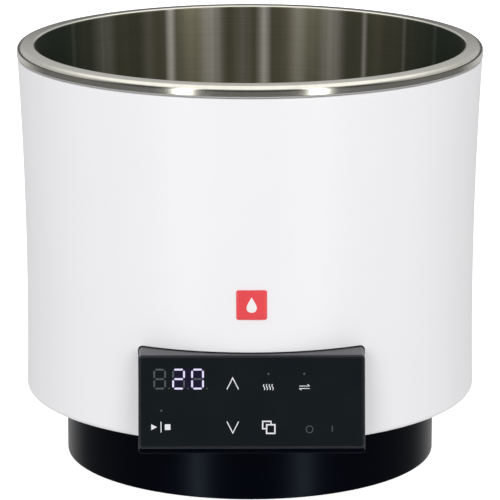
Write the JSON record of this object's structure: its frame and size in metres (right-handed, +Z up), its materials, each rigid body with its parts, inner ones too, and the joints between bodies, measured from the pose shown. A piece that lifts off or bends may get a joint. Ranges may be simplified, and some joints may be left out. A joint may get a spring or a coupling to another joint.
{
  "type": "heated water bath",
  "caption": "Heated laboratory bath: deep steel tub with a rolled rim in a round white shell, black plinth and a sloping touch console at the front.",
  "frame": {"origin": "centre of the footprint box, at the level the feet stand on", "axes": "+Z up, the console faces -Y, +X to the right as the console is read"},
  "size_m": [0.2608, 0.2726, 0.238],
  "materials": {
    "stainless": "brushed round the bore, rim polished",
    "zinc_steel": "zinc plated",
    "aluminium": "as cast or extruded",
    "brass": "nickel-free brass",
    "white_shell": "smooth satin white",
    "black_plastic": "semi-gloss black",
    "console_plastic": "dark semi-gloss",
    "dark_glass": "dark back-printed touch panel",
    "red_enamel": "gloss red",
    "grey_silicone": "matte light grey",
    "black_rubber": "matte",
    "circuit_board": "green solder mask",
    "mineral_felt": "needled felt",
    "fuse_ceramic": "ceramic tube",
    "red_lead": "sleeved lead"
  },
  "bodies": {
    "housing": {"badge": "red_enamel", "base_plate": "zinc_steel", "base_screw_1": "zinc_steel", "base_screw_2": "zinc_steel", "base_screw_3": "zinc_steel", "base_screw_4": "zinc_steel", "breaker_body": "black_plastic", "breaker_nut": "zinc_steel", "chassis_pan": "zinc_steel", "clamp_nut": "zinc_steel", "clamp_plate": "zinc_steel", "console_housing": "console_plastic", "console_screw_1": "zinc_steel", "console_screw_2": "zinc_steel", "display_board": "circuit_board", "display_module": "black_plastic", "foot_1": "black_rubber", "foot_2": "black_rubber", "foot_3": "black_rubber", "foot_4": "black_rubber", "heat_sink": "aluminium", "heater": "aluminium", "heater_lead_1": "red_lead", "heater_lead_2": "red_lead", "inlet_body": "black_plastic", "inlet_pin_1": "brass", "inlet_pin_2": "brass", "inlet_pin_3": "brass", "insulation_disc": "mineral_felt", "insulation_sleeve": "mineral_felt", "line_filter": "zinc_steel", "main_board": "circuit_board", "overheat_cutout": "aluminium", "pan_screw_1": "zinc_steel", "pan_screw_2": "zinc_steel", "pan_screw_3": "zinc_steel", "pan_screw_4": "zinc_steel", "plinth": "black_plastic", "power_relay": "black_plastic", "rim_gasket": "grey_silicone", "rocker_body": "black_plastic", "shell": "white_shell", "standoff_1": "brass", "standoff_2": "brass", "standoff_3": "brass", "standoff_4": "brass", "sync_socket": "black_plastic", "temperature_sensor": "stainless", "tie_nut": "zinc_steel", "tie_rod": "zinc_steel", "touch_glass": "dark_glass", "transformer": "zinc_steel", "tub": "stainless"},
    "rocker_paddle": {"rocker": "black_plastic"},
    "drawer": {"fuse_drawer": "black_plastic", "fuse_1": "fuse_ceramic", "fuse_2": "fuse_ceramic"},
    "button": {"reset_button": "red_enamel"}
  },
  "joints": [
    {"name": "power_rocker", "type": "hinge", "parent": "housing", "child": "rocker_paddle", "pos_m": [0.0376, -0.11212, 0.041], "axis": [0, 1, 0], "range_deg": [0, 16]},
    {"name": "fuse_drawer_slide", "type": "slide", "parent": "housing", "child": "drawer", "axis": [0, 1, 0], "range_m": [0, 0.018]},
    {"name": "reset_press", "type": "slide", "parent": "housing", "child": "button", "axis": [0, -1, 0], "range_m": [0, 0.002], "stiffness_N_per_m": 300, "springref_m": -0.001}
  ]
}
